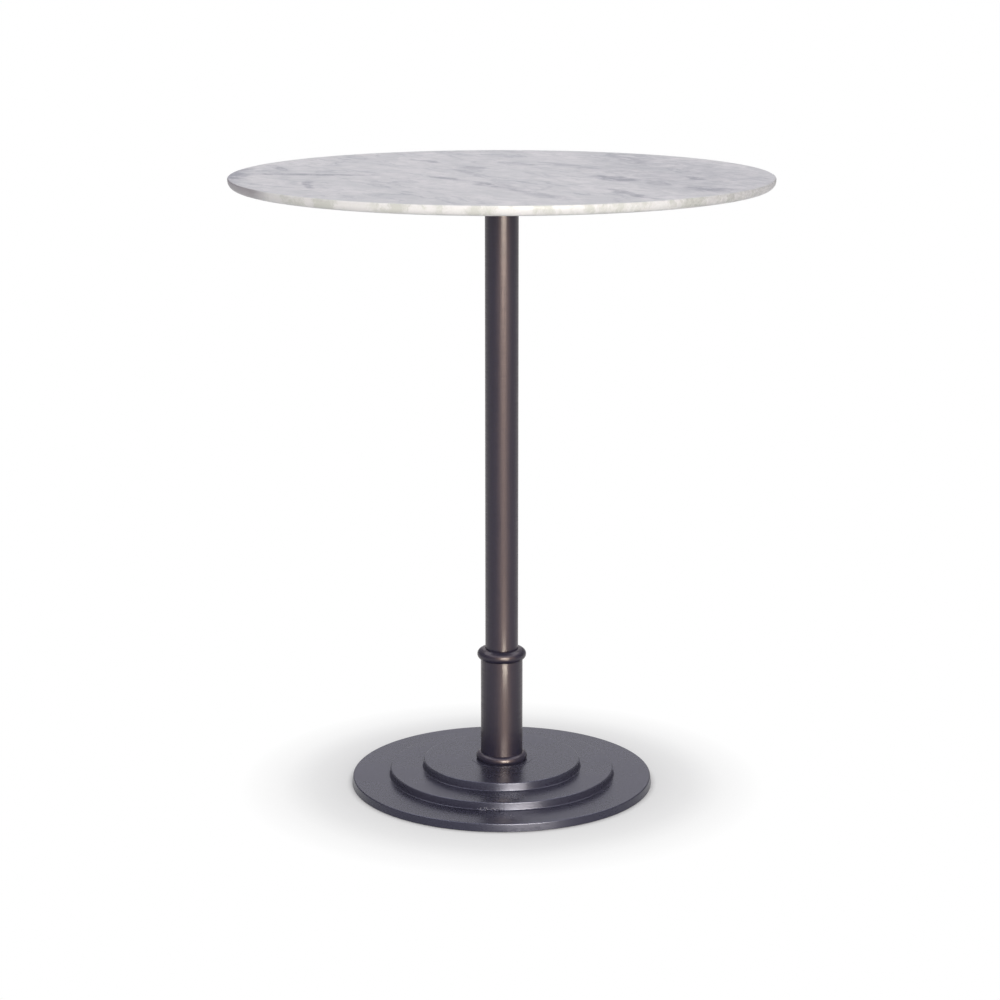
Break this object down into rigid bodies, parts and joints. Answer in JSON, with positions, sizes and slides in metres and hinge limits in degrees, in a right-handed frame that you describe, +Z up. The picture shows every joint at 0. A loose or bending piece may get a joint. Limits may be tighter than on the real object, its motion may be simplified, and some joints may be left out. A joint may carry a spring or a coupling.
{
  "type": "bar table",
  "caption": "Bar-height pedestal table with a round marble top, a slim bronze column with a collared sleeve, and a round stepped cast base on levelling glides.",
  "frame": {"origin": "on the floor, under the middle of the column", "axes": "+Z up along the column, +X to the right and +Y to the rear as seen from the front"},
  "size_m": [0.9143, 0.9144, 1.0668],
  "materials": {
    "marble": "honed and sealed white marble with soft grey veins",
    "bronze_tube": "dark bronze metallic lacquer on smooth steel, semi-gloss",
    "bronze_casting": "dark bronze metallic lacquer on cast iron, semi-gloss, fine sand-cast grain",
    "black_iron": "black stove enamel on rough cast iron",
    "zinc_steel": "bright zinc plate",
    "insert_brass": "turned brass",
    "pad_rubber": "matt black rubber strip",
    "glide_nylon": "moulded black nylon"
  },
  "bodies": {
    "table": {"marble_top": "marble", "threaded_inserts": "insert_brass", "arm_pads": "pad_rubber", "top_spider": "black_iron", "spider_screws": "zinc_steel", "spider_washers": "zinc_steel", "upper_nut": "zinc_steel", "upper_washer": "zinc_steel", "tie_rod": "zinc_steel", "column_tube": "bronze_tube", "collar_ring": "bronze_tube", "sleeve_tube": "bronze_tube", "foot_ring": "bronze_tube", "base_casting": "bronze_casting", "lower_washer": "zinc_steel", "lower_nut": "zinc_steel"},
    "glide_rear_right": {"glide_foot_rear_right": "glide_nylon"},
    "glide_rear_right_stem": {"glide_stem_rear_right": "zinc_steel"},
    "glide_rear_left": {"glide_foot_rear_left": "glide_nylon"},
    "glide_rear_left_stem": {"glide_stem_rear_left": "zinc_steel"},
    "glide_front_left": {"glide_foot_front_left": "glide_nylon"},
    "glide_front_left_stem": {"glide_stem_front_left": "zinc_steel"},
    "glide_front_right": {"glide_foot_front_right": "glide_nylon"},
    "glide_front_right_stem": {"glide_stem_front_right": "zinc_steel"}
  },
  "joints": [
    {"name": "glide_height_rear_right", "type": "slide", "parent": "table", "child": "glide_rear_right", "axis": [0, 0, -1], "range_m": [0, 0.004]},
    {"name": "glide_turn_rear_right", "type": "hinge", "parent": "glide_rear_right", "child": "glide_rear_right_stem", "pos_m": [0.16405, 0.16405, 0.0056], "axis": [0, 0, -1], "range_deg": [0, 1153]},
    {"name": "glide_height_rear_left", "type": "slide", "parent": "table", "child": "glide_rear_left", "axis": [0, 0, -1], "range_m": [0, 0.004]},
    {"name": "glide_turn_rear_left", "type": "hinge", "parent": "glide_rear_left", "child": "glide_rear_left_stem", "pos_m": [-0.16405, 0.16405, 0.0056], "axis": [0, 0, -1], "range_deg": [0, 1153]},
    {"name": "glide_height_front_left", "type": "slide", "parent": "table", "child": "glide_front_left", "axis": [0, 0, -1], "range_m": [0, 0.004]},
    {"name": "glide_turn_front_left", "type": "hinge", "parent": "glide_front_left", "child": "glide_front_left_stem", "pos_m": [-0.16405, -0.16405, 0.0056], "axis": [0, 0, -1], "range_deg": [0, 1153]},
    {"name": "glide_height_front_right", "type": "slide", "parent": "table", "child": "glide_front_right", "axis": [0, 0, -1], "range_m": [0, 0.004]},
    {"name": "glide_turn_front_right", "type": "hinge", "parent": "glide_front_right", "child": "glide_front_right_stem", "pos_m": [0.16405, -0.16405, 0.0056], "axis": [0, 0, -1], "range_deg": [0, 1153]}
  ],
  "couplings": [
    {"joint": "glide_turn_rear_right", "follows": "glide_height_rear_right", "rad_per_m": 5026.5},
    {"joint": "glide_turn_rear_left", "follows": "glide_height_rear_left", "rad_per_m": 5026.5},
    {"joint": "glide_turn_front_left", "follows": "glide_height_front_left", "rad_per_m": 5026.5},
    {"joint": "glide_turn_front_right", "follows": "glide_height_front_right", "rad_per_m": 5026.5}
  ]
}
